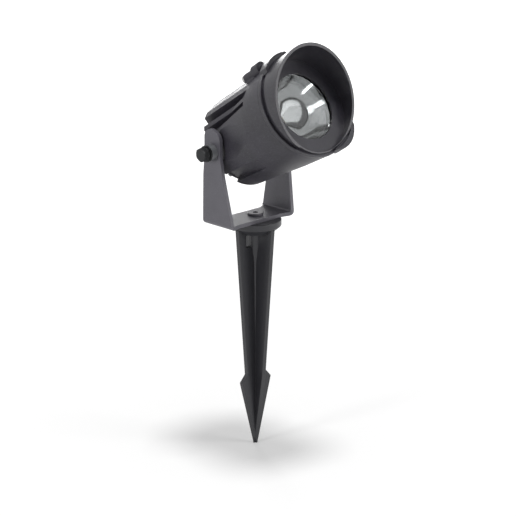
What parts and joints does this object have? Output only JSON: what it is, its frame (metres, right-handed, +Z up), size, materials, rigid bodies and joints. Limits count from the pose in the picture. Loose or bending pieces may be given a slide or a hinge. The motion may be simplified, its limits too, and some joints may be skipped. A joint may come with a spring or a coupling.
{
  "type": "garden spike spotlight",
  "caption": "Garden spotlight whose finned head with a slanted glare hood tilts in a U bracket that swivels on a barbed plastic ground spike.",
  "frame": {"origin": "on the spike's axis at the ground line, the underside of the spike's flange", "axes": "+Z up along the spike, -Y the side the lamp faces at rest, X along the tilt axis"},
  "size_m": [0.0972, 0.1136, 0.3334],
  "materials": {
    "spike_plastic": "matte moulded black",
    "insert_brass": "turned",
    "fastener_steel": "black zinc",
    "screw_steel": "plain",
    "bracket_paint": "satin powder coat, dark blue-grey",
    "head_paint": "satin powder coat, charcoal",
    "friction_plastic": "matte",
    "spacer_paint": "satin",
    "lens_glass": "clear",
    "seal_rubber": "matte",
    "reflector_chrome": "mirror",
    "board_aluminium": "satin",
    "phosphor": "soft yellow",
    "holder_plastic": "white",
    "thermal_silicone": "soft grey",
    "gland_nylon": "matte black",
    "driver_laminate": "green laminate",
    "terminal_plastic": "green",
    "transformer_core": "yellow tape over ferrite",
    "capacitor_sleeve": "dark sleeve",
    "inductor_core": "ferrite",
    "lead_sleeve": "red insulation"
  },
  "bodies": {
    "ground_part": {"spike": "spike_plastic", "threaded_insert": "insert_brass", "base_bolt": "bracket_paint", "glide_washer": "friction_plastic"},
    "bracket": {"bracket": "bracket_paint"},
    "lamp_head": {"pivot_bolts": "fastener_steel", "pivot_spring_washers": "fastener_steel", "pivot_flat_washers": "fastener_steel", "pivot_spacers": "spacer_paint", "friction_washers": "friction_plastic", "heat_sink_housing": "head_paint", "bezel_ring": "head_paint", "bezel_screws": "screw_steel", "glare_hood": "head_paint", "front_gasket": "seal_rubber", "glass_lens": "lens_glass", "reflector": "reflector_chrome", "thermal_pad": "thermal_silicone", "led_board": "board_aluminium", "led_emitter": "phosphor", "led_holder": "holder_plastic", "holder_screws": "screw_steel", "rear_cover": "head_paint", "rear_cover_seal": "seal_rubber", "rear_cover_screws": "screw_steel", "gland_washer": "seal_rubber", "gland_body": "gland_nylon", "gland_seal": "seal_rubber", "gland_cap_nut": "gland_nylon", "gland_locknut": "gland_nylon", "driver_board": "driver_laminate", "input_terminal": "terminal_plastic", "driver_transformer": "transformer_core", "driver_capacitors": "capacitor_sleeve", "driver_inductor": "inductor_core", "output_leads": "lead_sleeve"}
  },
  "joints": [
    {"name": "bracket_swivel", "type": "hinge", "parent": "ground_part", "child": "bracket", "pos_m": [0, 0, 0.005], "axis": [0, 0, 1], "continuous": true},
    {"name": "head_tilt", "type": "hinge", "parent": "bracket", "child": "lamp_head", "pos_m": [-0.0056, 0.0035, 0.0646], "axis": [-1, 0, 0], "range_deg": [-50, 75]}
  ]
}
